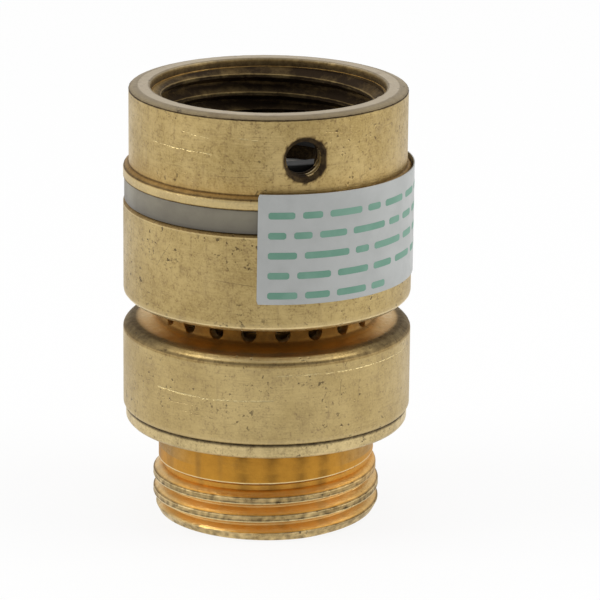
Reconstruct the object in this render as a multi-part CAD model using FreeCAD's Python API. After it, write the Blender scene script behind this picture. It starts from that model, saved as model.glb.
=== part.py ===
"""Hose bib vacuum breaker: a drainable double check valve with atmospheric vents.

A brass inlet collar screws on a tap, a brass body with a vented waist holds the
valve parts, and a brass outlet nipple takes the garden hose. All round pieces
share the Z axis. Z = 0 is the nipple's end face, -Y faces the viewer, and all
sizes are in millimetres.
"""

import FreeCAD
import Part
import math
import os

# Garden hose thread at both ends
thread_major_r = 13.45
thread_clearance = 0.15
thread_pitch = 2.209
thread_depth = 1.1
thread_crest_w = 0.6
thread_root_w = 0.5

# Walls and steps of the brass pieces, from the inlet thread outwards and back in
collar_wall = 2.7
collar_step = 0.7
mid_band_step = 0.04
lip_step = 0.04
ring_step = 0.25
flange_step = 0.3
body_wall = 2.4
socket_wall = 3.8
spigot_wall = 2.35
chamber_step = 0.8
waist_wall = 1.2

# Running clearances
press_gap = 0.05
fit_gap = 0.05
closed_gap = 0.1
stem_clearance = 0.08

# Outlet nipple, from its end face up
thread_length = 6.9
thread_end_chamfer_h = 1.37
thread_end_chamfer_r = 0.75
thread_first_crest_z = 2.89
thread_runout_h = 0.45
thread_runout_step = 0.2
thread_crests = 2
neck_depth = 0.65
neck_length = 4.4
neck_fillet = 0.4
flange_h = 1.7
flange_edge = 0.3
nipple_wall = 3.65
nipple_shoulder_w = 1.4
nipple_shoulder_z = 6.5
nipple_lead_in = 0.4

# Main body, outer form
body_foot_chamfer = 0.3
lower_band_h = 9.7
lower_band_chamfer_h = 0.6
lower_band_chamfer_r = 0.6
waist_width = 3.2
waist_corner_h = 0.6
waist_corner_r = 0.9
mid_foot_chamfer_h = 0.9
mid_foot_chamfer_r = 0.96
mid_band_h = 10.5
mid_head_chamfer_h = 0.25
mid_head_chamfer_r = 0.46

# Main body, inside
spigot_socket_depth = 7.15
vent_floor_rise = 0.7
web_h = 3.0
passage_step = 0.4
vent_seat_h = 0.5
vent_seat_w = 0.8

# Vent ports round the waist
port_count = 20
port_r = 0.9
port_rise = 0.1
port_first_deg = 9.0

# Plastic joint ring between the body and the collar
ring_h = 2.75
ring_bore_gap = 0.1
ring_edge = 0.12

# Inlet collar
lip_foot_edge = 0.12
lip_h = 1.15
lip_chamfer_h = 0.47
lip_chamfer_r = 0.46
collar_h = 9.11
rim_chamfer_h = 0.38
rim_chamfer_r = 0.9
bore_lead_in = 0.3
socket_depth = 9.13
collar_web_h = 2.0
web_bore_step = 1.5
spigot_end_gap = 0.2
bore_crest_below_rim = 4.13
bore_crests = 2

# Tapped hole for the break-off screw
screw_hole_r = 2.15
screw_hole_sink = 0.45
screw_hole_z_below_rim = 5.03
screw_hole_deg = 15.4

# Inlet washer
washer_h = 3.0
washer_w = 4.45
washer_side_gap = 1.4
washer_edge = 0.3
washer_pocket_depth = 0.25
washer_pocket_rise = 0.1

# Label film
label_start_deg = -3.3
label_span_deg = 134.0
label_foot_below_ring = 8.15
label_h = 12.9
label_film = 0.14
label_gap = 0.02

# Square-cut seal rings and their grooves
seal_ring_d = 1.4
seal_groove_extra = 0.2
seal_groove_slack = 0.06
seal_side_gap = 0.04
collar_seal_below_lip = 6.9
nipple_seal_above_flange = 2.9

# Springs: wire size, turns and room beside them
vent_spring_wire = 0.8
vent_spring_turns = 3.5
vent_spring_side_gap = 0.45
vent_spring_tube_gap = 0.75
plunger_spring_wire = 0.7
plunger_spring_turns = 3.5
plunger_spring_side_gap = 0.5
plunger_spring_disc_gap = 0.8
first_spring_wire = 0.45
first_spring_turns = 4
second_spring_wire = 0.5
second_spring_turns = 4
check_spring_r = 3.0
wire_sides = 6

# Vent piston
piston_travel = 1.6
piston_side_gap = 0.2
piston_head_h = 4.2
piston_tube_wall = 1.5
piston_edge = 0.4
face_seal_h = 1.0

# Check valves
check_flow_gap = 1.1
seat_lip_h = 0.4
seat_lip_w = 0.7
check_seal_h = 1.2
check_seal_overlap = 0.4
check_disc_h = 1.3
check_disc_overlap = 0.2
check_boss_r = 2.0
check_head_step = 1.0
check_head_h = 0.6
stem_edge = 0.2

# First check valve, carried in the piston tube
first_stem_r = 1.2
first_stem_past_guide = 1.5
guide_h = 1.2
guide_recess = 0.3
guide_hub_step = 0.8
guide_rim_w = 1.2
spoke_w = 1.4
spoke_count = 4
spoke_root = 0.3

# Second check valve, in the outlet nipple
seat_plate_h = 2.0
second_stem_r = 1.4
second_stem_past_hub = 1.2

# Drain plunger
plunger_travel = 2.5
plunger_rim_h = 1.5
plunger_side_gap = 0.1
plunger_foot_gap = 0.3
plunger_foot_h = 1.7
plunger_leg_wall = 1.3
plunger_leg_gap = 0.2
plunger_leg_w = 2.6

# Radii that follow from the sizes above
thread_bore_r = thread_major_r + thread_clearance
collar_r = thread_bore_r + collar_wall
band_r = collar_r + collar_step
mid_band_r = band_r - mid_band_step
lip_r = band_r - lip_step
ring_r = band_r - ring_step
flange_r = band_r - flange_step
spigot_socket_r = band_r - body_wall
spigot_r = spigot_socket_r - press_gap
piston_chamber_r = spigot_r - spigot_wall
vent_chamber_r = piston_chamber_r - chamber_step
waist_neck_r = vent_chamber_r + waist_wall
lower_socket_r = band_r - socket_wall
nipple_spigot_r = lower_socket_r - closed_gap
neck_r = thread_major_r - neck_depth
thread_root_r = thread_major_r - thread_depth
bore_crest_r = thread_bore_r - thread_depth
nipple_bore_r = thread_major_r - nipple_wall
nipple_mouth_r = nipple_bore_r - nipple_shoulder_w
washer_pocket_r = thread_bore_r + washer_pocket_depth
washer_r = washer_pocket_r - washer_side_gap
washer_r_in = washer_r - washer_w
collar_web_bore_r = washer_r_in + web_bore_step
vent_spring_r = vent_chamber_r - vent_spring_side_gap - vent_spring_wire / 2
piston_r = piston_chamber_r - piston_side_gap
piston_tube_r = vent_spring_r - vent_spring_wire / 2 - vent_spring_tube_gap
piston_tube_bore_r = piston_tube_r - piston_tube_wall
passage_r = piston_tube_bore_r - passage_step
seat_margin = seat_lip_w + check_seal_overlap + check_disc_overlap
piston_bore_r = piston_tube_bore_r - check_flow_gap - seat_margin
plunger_spring_r = nipple_bore_r - plunger_spring_side_gap - plunger_spring_wire / 2
seat_plate_bore_r = plunger_spring_r - plunger_spring_wire / 2 - plunger_spring_disc_gap - seat_margin
guide_hub_r = check_spring_r + guide_hub_step

# Heights that follow from the sizes above
thread_foot_h = (thread_pitch - thread_root_w) / 2
flange_z = thread_length + neck_length
body_z = flange_z + flange_h
waist_z = body_z + lower_band_h + lower_band_chamfer_h
waist_top_z = waist_z + waist_width
mid_band_z = waist_top_z + mid_foot_chamfer_h
body_top_z = mid_band_z + mid_band_h + mid_head_chamfer_h
lip_z = body_top_z + ring_h
ledge_z = lip_z + lip_h + lip_chamfer_h
rim_z = ledge_z + collar_h
washer_seat_z = rim_z - socket_depth
washer_pocket_z = washer_seat_z + washer_h + washer_pocket_rise
vent_floor_z = waist_z + vent_floor_rise
vent_seat_z = vent_floor_z + vent_seat_h
web_foot_z = vent_floor_z - web_h
socket_floor_z = body_top_z - spigot_socket_depth
chamber_roof_z = washer_seat_z - collar_web_h
seat_plate_z = web_foot_z - seat_plate_h
piston_top_z = chamber_roof_z - closed_gap
piston_head_z = piston_top_z - piston_head_h
face_seal_z = vent_seat_z + closed_gap + piston_travel
piston_foot_z = face_seal_z + face_seal_h
piston_seal_z = piston_head_z + piston_head_h / 2
collar_seal_z = lip_z - collar_seal_below_lip
nipple_seal_z = body_z + nipple_seal_above_flange
first_seal_top_z = piston_head_z - seat_lip_h - closed_gap
first_disc_top_z = first_seal_top_z - check_seal_h
first_disc_z = first_disc_top_z - check_disc_h
guide_z = piston_foot_z + guide_recess
guide_top_z = guide_z + guide_h
plunger_z = nipple_shoulder_z + closed_gap
plunger_top_z = plunger_z + plunger_rim_h
second_seal_top_z = seat_plate_z - seat_lip_h - closed_gap - plunger_travel
second_disc_top_z = second_seal_top_z - check_seal_h
second_disc_z = second_disc_top_z - check_disc_h

# How far a cutting tool reaches past what it cuts
cutter_reach = 1.0

Z_AXIS = FreeCAD.Vector(0, 0, 1)
X_AXIS = FreeCAD.Vector(1, 0, 0)
CENTRE = FreeCAD.Vector(0, 0, 0)


def at(r, z):
    """A point of a turned section: its radius and its height."""
    return FreeCAD.Vector(r, 0, z)


def turned(points):
    """Turn a closed outline of radius and height pairs about the Z axis."""
    corners = [at(r, z) for r, z in points]
    face = Part.Face(Part.makePolygon(corners + corners[:1]))
    return face.revolve(CENTRE, Z_AXIS, 360)


def tube(r_in, r_out, z_low, z_high):
    """A plain ring between two radii and two heights."""
    return turned([(r_in, z_low), (r_out, z_low), (r_out, z_high), (r_in, z_high)])


def joined(shapes):
    """Fuse touching shapes into one solid with no leftover seams."""
    whole = shapes[0]
    for shape in shapes[1:]:
        whole = whole.fuse(shape)
    return whole.removeSplitter()


def around(count, first_deg, make):
    """Copies of a shape turned evenly about the axis."""
    copies = []
    for i in range(count):
        shape = make()
        shape.rotate(CENTRE, Z_AXIS, first_deg + 360.0 * i / count)
        copies.append(shape)
    return copies


def spokes(r_hub, r_rim, z_low, z_high):
    """Flat arms from a hub to a rim, each sunk a little into both."""
    def one_arm():
        length = r_rim - r_hub + 2 * spoke_root
        corner = FreeCAD.Vector(r_hub - spoke_root, -spoke_w / 2, z_low)
        return Part.makeBox(length, spoke_w, z_high - z_low, corner)
    return around(spoke_count, 45.0, one_arm)


def spring(mean_r, wire, turns, z_low, z_high):
    """A coil spring with its end coils ground flat between two heights."""
    free = z_high - z_low
    pitch = free / turns
    helix = Part.Wire(Part.makeHelix(pitch, free, mean_r).Edges)
    slope = math.atan2(pitch, 2 * math.pi * mean_r)
    corners = []
    for i in range(wire_sides + 1):
        turn = 2 * math.pi * (i + 0.5) / wire_sides
        out = wire / 2 * math.cos(turn)
        up = wire / 2 * math.sin(turn)
        corners.append(FreeCAD.Vector(mean_r + out, -up * math.sin(slope), up * math.cos(slope)))
    section = Part.makePolygon(corners)
    coil = helix.makePipeShell([section], True, True)
    coil.translate(at(0, z_low))
    ends = tube(mean_r - wire, mean_r + wire, z_low, z_high)
    return coil.common(ends)


def seal_groove(bore_r, middle_z):
    """The ring to cut from a spigot for a seal ring that works against a bore."""
    half = (seal_ring_d + seal_groove_extra) / 2
    bottom_r = bore_r - seal_side_gap - seal_ring_d - seal_groove_slack
    return tube(bottom_r, bore_r + cutter_reach, middle_z - half, middle_z + half)


def seal_ring(bore_r, middle_z):
    """A square-cut ring that stands just inside a bore of the given radius."""
    outer_r = bore_r - seal_side_gap
    half = seal_ring_d / 2
    return tube(outer_r - seal_ring_d, outer_r, middle_z - half, middle_z + half)


def thread_section(first_crest_z, crests, crest_r, root_r):
    """The section of a thread as rings: each crest with its two flanks, from the lowest up."""
    half_crest = thread_crest_w / 2
    points = []
    for i in range(crests):
        middle_z = first_crest_z + i * thread_pitch
        points += [
            (root_r, middle_z - thread_foot_h), (crest_r, middle_z - half_crest),
            (crest_r, middle_z + half_crest), (root_r, middle_z + thread_foot_h),
        ]
    return points


def rounded_ring(r_in, r_out, z_low, z_high, edge):
    """A ring with all four edges broken."""
    return turned([
        (r_in, z_low + edge), (r_in + edge, z_low), (r_out - edge, z_low), (r_out, z_low + edge),
        (r_out, z_high - edge), (r_out - edge, z_high), (r_in + edge, z_high), (r_in, z_high - edge),
    ])


def outlet_nipple():
    top_z = seat_plate_z
    chamfer_top_z = thread_first_crest_z - thread_pitch + thread_crest_w / 2
    chamfer_top_r = thread_major_r - thread_end_chamfer_r * (1 - chamfer_top_z / thread_end_chamfer_h)
    solid = turned([
        (nipple_mouth_r + nipple_lead_in, 0),
        (thread_major_r - thread_end_chamfer_r, 0),
        (chamfer_top_r, chamfer_top_z),
        (thread_root_r, thread_first_crest_z + thread_foot_h - thread_pitch),
        *thread_section(thread_first_crest_z, thread_crests, thread_major_r, thread_root_r),
        (thread_root_r, thread_length - thread_runout_h),
        (thread_major_r - thread_runout_step, thread_length),
        (neck_r, thread_length),
        (neck_r, flange_z - neck_fillet),
        (neck_r + neck_fillet, flange_z),
        (flange_r - flange_edge, flange_z),
        (flange_r, flange_z + flange_edge),
        (flange_r, body_z),
        (nipple_spigot_r, body_z),
        (nipple_spigot_r, top_z),
        (nipple_bore_r, top_z),
        (nipple_bore_r, nipple_shoulder_z),
        (nipple_mouth_r, nipple_shoulder_z),
        (nipple_mouth_r, nipple_lead_in),
    ])
    return solid.cut(seal_groove(lower_socket_r, nipple_seal_z))


def main_body():
    waist_mid_z = (waist_z + waist_top_z) / 2
    seat_mid_r = (piston_tube_r + piston_tube_bore_r) / 2
    solid = turned([
        (lower_socket_r, body_z),
        (band_r - body_foot_chamfer, body_z),
        (band_r, body_z + body_foot_chamfer),
        (band_r, waist_z - lower_band_chamfer_h),
        (band_r - lower_band_chamfer_r, waist_z),
        (waist_neck_r + waist_corner_r, waist_z),
        (waist_neck_r, waist_z + waist_corner_h),
        (waist_neck_r, waist_top_z - waist_corner_h),
        (waist_neck_r + waist_corner_r, waist_top_z),
        (mid_band_r - mid_foot_chamfer_r, waist_top_z),
        (mid_band_r, mid_band_z),
        (mid_band_r, body_top_z - mid_head_chamfer_h),
        (mid_band_r - mid_head_chamfer_r, body_top_z),
        (spigot_socket_r, body_top_z),
        (spigot_socket_r, socket_floor_z),
        (vent_chamber_r, socket_floor_z),
        (vent_chamber_r, vent_floor_z),
        (seat_mid_r + vent_seat_w / 2, vent_floor_z),
        (seat_mid_r + vent_seat_w / 2, vent_seat_z),
        (seat_mid_r - vent_seat_w / 2, vent_seat_z),
        (seat_mid_r - vent_seat_w / 2, vent_floor_z),
        (passage_r, vent_floor_z),
        (passage_r, web_foot_z),
        (lower_socket_r, web_foot_z),
    ])
    port_z = waist_mid_z + port_rise

    def one_port():
        inner_r = vent_chamber_r - cutter_reach
        length = waist_neck_r + cutter_reach - inner_r
        return Part.makeCylinder(port_r, length, at(inner_r, port_z), X_AXIS)

    for port in around(port_count, port_first_deg - 90.0, one_port):
        solid = solid.cut(port)
    return solid


def joint_ring():
    return rounded_ring(spigot_socket_r + ring_bore_gap, ring_r, body_top_z, lip_z, ring_edge)


def inlet_collar():
    spigot_foot_z = socket_floor_z + spigot_end_gap
    solid = turned([
        (piston_chamber_r, spigot_foot_z),
        (spigot_r, spigot_foot_z),
        (spigot_r, lip_z),
        (lip_r - lip_foot_edge, lip_z),
        (lip_r, lip_z + lip_foot_edge),
        (lip_r, lip_z + lip_h),
        (lip_r - lip_chamfer_r, ledge_z),
        (collar_r, ledge_z),
        (collar_r, rim_z - rim_chamfer_h),
        (collar_r - rim_chamfer_r, rim_z),
        (thread_bore_r + bore_lead_in, rim_z),
        (thread_bore_r, rim_z - bore_lead_in),
        *reversed(thread_section(rim_z - bore_crest_below_rim, bore_crests, bore_crest_r, thread_bore_r)),
        (thread_bore_r, washer_pocket_z),
        (washer_pocket_r, washer_pocket_z),
        (washer_pocket_r, washer_seat_z),
        (collar_web_bore_r, washer_seat_z),
        (collar_web_bore_r, chamber_roof_z),
        (piston_chamber_r, chamber_roof_z),
    ])
    solid = solid.cut(seal_groove(spigot_socket_r, collar_seal_z))
    hole_z = rim_z - screw_hole_z_below_rim
    inner_r = thread_bore_r - cutter_reach
    outer_r = collar_r + cutter_reach
    hole = Part.makeCylinder(screw_hole_r, outer_r - inner_r, at(inner_r, hole_z), X_AXIS)
    sink_r = screw_hole_r + screw_hole_sink
    sink = Part.makeCone(
        screw_hole_r, sink_r + cutter_reach, screw_hole_sink + cutter_reach,
        at(collar_r - screw_hole_sink, hole_z), X_AXIS,
    )
    cutter = hole.fuse(sink)
    cutter.rotate(CENTRE, Z_AXIS, screw_hole_deg - 90.0)
    return solid.cut(cutter)


def inlet_washer():
    return rounded_ring(washer_r_in, washer_r, washer_seat_z, washer_seat_z + washer_h, washer_edge)


def blank_label():
    inner_r = band_r + label_gap
    foot_z = body_top_z - label_foot_below_ring
    outline = [
        at(inner_r, foot_z), at(inner_r + label_film, foot_z),
        at(inner_r + label_film, foot_z + label_h), at(inner_r, foot_z + label_h), at(inner_r, foot_z),
    ]
    face = Part.Face(Part.makePolygon(outline))
    film = face.revolve(CENTRE, Z_AXIS, label_span_deg)
    film.rotate(CENTRE, Z_AXIS, label_start_deg - 90.0)
    return film


def collar_seal():
    return seal_ring(spigot_socket_r, collar_seal_z)


def nipple_seal():
    return seal_ring(lower_socket_r, nipple_seal_z)


def vent_piston():
    lip_r_in = piston_bore_r
    solid = turned([
        (lip_r_in, piston_head_z - seat_lip_h),
        (lip_r_in + seat_lip_w, piston_head_z - seat_lip_h),
        (lip_r_in + seat_lip_w, piston_head_z),
        (piston_tube_bore_r, piston_head_z),
        (piston_tube_bore_r, piston_foot_z),
        (piston_tube_r, piston_foot_z),
        (piston_tube_r, piston_head_z),
        (piston_r - piston_edge, piston_head_z),
        (piston_r, piston_head_z + piston_edge),
        (piston_r, piston_top_z - piston_edge),
        (piston_r - piston_edge, piston_top_z),
        (lip_r_in + piston_edge, piston_top_z),
        (lip_r_in, piston_top_z - piston_edge),
    ])
    return solid.cut(seal_groove(piston_chamber_r, piston_seal_z))


def piston_seal():
    return seal_ring(piston_chamber_r, piston_seal_z)


def vent_face_seal():
    return tube(piston_tube_bore_r, piston_tube_r, face_seal_z, piston_foot_z)


def check_poppet(disc_z, disc_top_z, seat_bore_r, stem_r, stem_foot_z):
    """A poppet: guide stem, disc, and a boss with a snap head that holds its seal."""
    disc_r = seat_bore_r + seat_lip_w + check_seal_overlap + check_disc_overlap
    seal_top_z = disc_top_z + check_seal_h
    neck_top_z = seal_top_z + fit_gap
    return turned([
        (0, stem_foot_z),
        (stem_r - stem_edge, stem_foot_z),
        (stem_r, stem_foot_z + stem_edge),
        (stem_r, disc_z),
        (disc_r, disc_z),
        (disc_r, disc_top_z),
        (check_boss_r, disc_top_z),
        (check_boss_r, neck_top_z),
        (check_boss_r + check_head_step, neck_top_z),
        (check_boss_r, neck_top_z + check_head_h),
        (0, neck_top_z + check_head_h),
    ])


def check_seal(disc_top_z, seat_bore_r):
    outer_r = seat_bore_r + seat_lip_w + check_seal_overlap
    return tube(check_boss_r + fit_gap, outer_r, disc_top_z, disc_top_z + check_seal_h)


def first_check_poppet():
    stem_foot_z = guide_z - first_stem_past_guide
    return check_poppet(first_disc_z, first_disc_top_z, piston_bore_r, first_stem_r, stem_foot_z)


def first_check_seal():
    return check_seal(first_disc_top_z, piston_bore_r)


def first_check_guide():
    rim_r = piston_tube_bore_r - press_gap
    rim_in_r = rim_r - guide_rim_w
    bore_r = first_stem_r + stem_clearance
    hub = tube(bore_r, guide_hub_r, guide_z, guide_top_z)
    rim = tube(rim_in_r, rim_r, guide_z, guide_top_z)
    arms = spokes(guide_hub_r, rim_in_r, guide_z, guide_top_z)
    return joined([hub, rim] + arms)


def second_check_seat():
    lip_z_low = seat_plate_z - seat_lip_h
    return turned([
        (seat_plate_bore_r, lip_z_low),
        (seat_plate_bore_r + seat_lip_w, lip_z_low),
        (seat_plate_bore_r + seat_lip_w, seat_plate_z),
        (nipple_spigot_r, seat_plate_z),
        (nipple_spigot_r, web_foot_z),
        (seat_plate_bore_r, web_foot_z),
    ])


def second_check_poppet():
    stem_foot_z = plunger_z - second_stem_past_hub
    return check_poppet(second_disc_z, second_disc_top_z, seat_plate_bore_r, second_stem_r, stem_foot_z)


def second_check_seal():
    return check_seal(second_disc_top_z, seat_plate_bore_r)


def drain_plunger():
    rim_r = nipple_bore_r - plunger_side_gap
    leg_r = nipple_mouth_r - plunger_leg_gap
    leg_in_r = leg_r - plunger_leg_wall
    bore_r = second_stem_r + stem_clearance
    hub = tube(bore_r, guide_hub_r, plunger_z, plunger_top_z)
    rim = tube(leg_in_r, rim_r, plunger_z, plunger_top_z)
    foot_top_z = plunger_foot_gap + plunger_foot_h
    foot = tube(leg_in_r, leg_r, plunger_foot_gap, foot_top_z)
    arms = spokes(guide_hub_r, leg_in_r, plunger_z, plunger_top_z)
    skirt = tube(leg_in_r, leg_r, plunger_foot_gap, plunger_z)

    def one_leg():
        corner = FreeCAD.Vector(0, -plunger_leg_w / 2, plunger_foot_gap)
        block = Part.makeBox(leg_r + cutter_reach, plunger_leg_w, plunger_z - plunger_foot_gap, corner)
        return skirt.common(block)

    return joined([hub, rim, foot] + arms + around(spoke_count, 45.0, one_leg))


def vent_spring():
    low = vent_floor_z + fit_gap
    high = piston_head_z - fit_gap
    return spring(vent_spring_r, vent_spring_wire, vent_spring_turns, low, high)


def first_check_spring():
    low = guide_top_z + fit_gap
    high = first_disc_z - fit_gap
    return spring(check_spring_r, first_spring_wire, first_spring_turns, low, high)


def second_check_spring():
    low = plunger_top_z + fit_gap
    high = second_disc_z - fit_gap
    return spring(check_spring_r, second_spring_wire, second_spring_turns, low, high)


def plunger_spring():
    low = plunger_top_z + fit_gap
    high = seat_plate_z - fit_gap
    return spring(plunger_spring_r, plunger_spring_wire, plunger_spring_turns, low, high)


PIECES = [
    inlet_collar, main_body, outlet_nipple, joint_ring, blank_label, inlet_washer,
    collar_seal, nipple_seal, vent_piston, piston_seal, vent_face_seal, vent_spring,
    first_check_poppet, first_check_seal, first_check_guide, first_check_spring,
    second_check_seat, second_check_poppet, second_check_seal, second_check_spring,
    drain_plunger, plunger_spring,
]

os.makedirs("parts", exist_ok=True)
for piece in PIECES:
    shape = piece()
    if len(shape.Solids) != 1:
        raise ValueError(f"{piece.__name__} came out as {len(shape.Solids)} solids")
    solid = shape.Solids[0]
    if not solid.isValid():
        raise ValueError(f"{piece.__name__} is not a valid solid")
    solid.exportStep(f"parts/{piece.__name__}.step")
    box = solid.BoundBox
    print(f"{piece.__name__:22s} {solid.Volume:9.1f} mm3  z {box.ZMin:6.2f} to {box.ZMax:6.2f}")
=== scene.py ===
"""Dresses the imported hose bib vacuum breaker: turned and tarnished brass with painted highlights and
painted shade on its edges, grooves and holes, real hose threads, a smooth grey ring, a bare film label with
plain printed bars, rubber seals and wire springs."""

import math
import random

import bmesh
import bpy
from bpy.props import FloatProperty, FloatVectorProperty, IntProperty, PointerProperty
from mathutils import Matrix, Quaternion, Vector, noise


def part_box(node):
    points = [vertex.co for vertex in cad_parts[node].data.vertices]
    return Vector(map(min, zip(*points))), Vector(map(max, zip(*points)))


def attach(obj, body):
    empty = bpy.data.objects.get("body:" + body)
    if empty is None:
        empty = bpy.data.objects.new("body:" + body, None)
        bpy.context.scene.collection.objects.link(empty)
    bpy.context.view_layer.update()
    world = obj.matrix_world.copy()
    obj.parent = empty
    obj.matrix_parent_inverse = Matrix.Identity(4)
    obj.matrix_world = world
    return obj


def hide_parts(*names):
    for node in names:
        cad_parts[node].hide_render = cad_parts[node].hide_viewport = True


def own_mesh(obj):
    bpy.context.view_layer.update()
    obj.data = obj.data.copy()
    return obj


bl_info = {
    "name": "Hose Bib Vacuum Breaker",
    "version": (1, 0, 0),
    "blender": (4, 5, 0),
    "location": "View3D > Sidebar > Vacuum Breaker",
    "description": "Builds the brass, plastic, rubber and film pieces of a hose bib vacuum breaker",
    "category": "Object",
}

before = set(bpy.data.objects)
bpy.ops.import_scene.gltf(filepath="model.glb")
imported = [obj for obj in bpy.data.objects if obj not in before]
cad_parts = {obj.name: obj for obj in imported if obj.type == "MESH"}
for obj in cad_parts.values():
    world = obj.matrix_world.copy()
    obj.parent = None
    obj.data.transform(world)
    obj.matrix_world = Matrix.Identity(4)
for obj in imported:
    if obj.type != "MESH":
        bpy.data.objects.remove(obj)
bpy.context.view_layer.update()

MM = 0.001
COLUMNS = 360
MERGE = 2e-6
SHARP = math.radians(28)

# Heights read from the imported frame, in millimetres
BODY_LOW, BODY_HIGH = (corner.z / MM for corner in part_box("main_body"))
RING_LOW, RING_HIGH = (corner.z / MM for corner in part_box("joint_ring"))
LABEL_LOW, LABEL_HIGH = (corner.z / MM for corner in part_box("blank_label"))
COLLAR_LOW, RIM = (corner.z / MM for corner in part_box("inlet_collar"))
NIPPLE_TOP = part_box("outlet_nipple")[1].z / MM
WASHER_LOW, WASHER_HIGH = (corner.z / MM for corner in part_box("inlet_washer"))

# Radii of the brass pieces, in millimetres
BAND_R = min(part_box("main_body")[1].x, -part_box("main_body")[0].x) / MM - 0.01
MID_BAND_R = BAND_R - 0.04
LIP_R = BAND_R - 0.04
RING_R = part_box("joint_ring")[1].x / MM + 0.08
COLLAR_R = 16.3
FLANGE_R = BAND_R - 0.3
SPIGOT_R = 14.55
CHAMBER_R = 12.2
THREAD_MAJOR_R = 13.45
THREAD_ROOT_R = 12.3
NECK_R = 12.8
WAIST_R = 12.6
HOLE_AZIMUTH = math.radians(15.4)
HOLE_Z = RIM - 5.03
PORT_COUNT = 20
PORT_R = 0.9
FIRST_PORT_DEG = 9.0
SEAL_HALF = 0.8


def settings():
    """The panel's values."""
    return bpy.context.scene.vacuum_breaker


# Mesh code

def eased(corners):
    """Round the corners of a closed outline. A corner is radius, height, ease, wear, gold."""
    points = []
    count = len(corners)
    for i, (r, z, ease, wear_and_painted_light, gold) in enumerate(corners):
        here = Vector((r, z))
        before = Vector(corners[i - 1][:2]) - here
        after = Vector(corners[(i + 1) % count][:2]) - here
        if ease <= 0:
            points.append((r, z, wear_and_painted_light, gold))
            continue
        reach = min(ease, before.length * 0.45, after.length * 0.45)
        fade = 0.3
        start = here + before.normalized() * reach
        end = here + after.normalized() * reach
        if before.length > 2.2 * (reach + fade):
            shoulder = here + before.normalized() * (reach + fade)
            points.append((shoulder.x, shoulder.y, min(wear_and_painted_light, 0.0), gold))
        for step in range(5):
            t = step / 4
            p = start * (1 - t) ** 2 + here * 2 * t * (1 - t) + end * t ** 2
            points.append((p.x, p.y, wear_and_painted_light, gold))
        if after.length > 2.2 * (reach + fade):
            shoulder = here + after.normalized() * (reach + fade)
            points.append((shoulder.x, shoulder.y, min(wear_and_painted_light, 0.0), gold))
    return points


def filled(points, longest):
    """Add points along a line of points, so that no step is longer than a limit."""
    dense = []
    for start, end in zip(points, points[1:]):
        cuts = max(1, math.ceil(math.hypot(end[0] - start[0], end[1] - start[1]) / longest))
        dense += [tuple(a + (b - a) * i / cuts for a, b in zip(start, end)) for i in range(cuts)]
    return dense + points[-1:]


def fixed(point):
    """A row that is a plain circle."""
    return lambda angle: point


def rows_of(corners, longest=0.45):
    """Plain circular rows for a rounded outline."""
    return [fixed(point) for point in filled(eased(corners), longest)]


def seal_groove(outer, inner, z):
    """Outline corners of a seal's groove, from the bottom up."""
    corners = ((outer, -SEAL_HALF), (inner, -SEAL_HALF), (inner, SEAL_HALF), (outer, SEAL_HALF))
    return [(r, z + side, 0, 0, 0.3) for r, side in corners]


def form_at(form, phase):
    """A thread form's height, wear and gold at a phase between -0.5 and 0.5."""
    for low, high in zip(form, form[1:]):
        if low[0] <= phase <= high[0]:
            t = (phase - low[0]) / max(high[0] - low[0], 1e-9)
            return tuple(a + (b - a) * t for a, b in zip(low[1:], high[1:]))
    return form[0][1:]


def helix_rows(form, pitch, low, high, crest_z, shape):
    """Rows that climb one pitch a turn, held between two heights. The crest passes crest_z at the front.

    shape turns an angle, a height and the form's height, wear and gold into a row's point.
    """
    levels = []
    turn = math.floor((low - crest_z) / pitch) - 2
    while crest_z + (turn - 1) * pitch < high + pitch:
        levels += [crest_z + (turn + entry[0]) * pitch for entry in form[:-1]]
        turn += 1

    def row(level):
        def at(angle):
            climb = pitch * (angle - math.pi) / (2 * math.pi)
            z = min(max(level + climb, low), high)
            phase = (z - climb - crest_z) / pitch
            return shape(angle, z, *form_at(form, phase - math.floor(phase + 0.5)))
        return at

    return [row(level) for level in levels]


def turned(name, rows, columns=COLUMNS, roughen=0.0, seed=0):
    """A closed mesh from rows turned about Z. Column 0 stands at the back."""
    bm = bmesh.new()
    wear_light_layer = bm.verts.layers.float.new("wear_and_painted_light")
    gold_layer = bm.verts.layers.float.new("gold")
    grid = []
    for row in rows:
        line = []
        for step in range(columns + 1):
            angle = 2 * math.pi * step / columns
            r, z, wear_and_painted_light, gold = row(angle)
            turn = angle + math.pi / 2
            if roughen and wear_and_painted_light:
                place = Vector((math.cos(turn) * r, math.sin(turn) * r, z + seed))
                r += roughen * wear_and_painted_light * noise.noise(place * 1.7)
                z += roughen * wear_and_painted_light * noise.noise(place * 2.3 + Vector((7, 3, 1)))
            z = min(max(z, 0.0), RIM)
            vert = bm.verts.new((math.cos(turn) * r * MM, math.sin(turn) * r * MM, z * MM))
            vert[wear_light_layer] = wear_and_painted_light
            vert[gold_layer] = gold
            line.append(vert)
        grid.append(line)
    for low, high in zip(grid, grid[1:] + grid[:1]):
        for i in range(columns):
            bm.faces.new((low[i], low[i + 1], high[i + 1], high[i]))
    bmesh.ops.remove_doubles(bm, verts=bm.verts, dist=MERGE)
    bmesh.ops.dissolve_degenerate(bm, edges=bm.edges, dist=MERGE)
    bmesh.ops.recalc_face_normals(bm, faces=bm.faces)
    return finished(name, bm)


def finished(name, bm):
    """Turn a bmesh into a smooth-shaded object with sharp edges kept."""
    mesh = bpy.data.meshes.new(name)
    bm.to_mesh(mesh)
    bm.free()
    mesh.shade_smooth()
    mesh.set_sharp_from_angle(angle=SHARP)
    piece = bpy.data.objects.new(name, mesh)
    bpy.context.scene.collection.objects.link(piece)
    return piece


def ring_at(bm, centre, out, r, sides):
    """A ring of vertices round a centre, in the plane of a direction and Z."""
    up = Vector((0, 0, 1))
    turns = [2 * math.pi * side / sides for side in range(sides)]
    return [bm.verts.new((centre + (out * math.cos(a) + up * math.sin(a)) * r) * MM) for a in turns]


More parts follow.
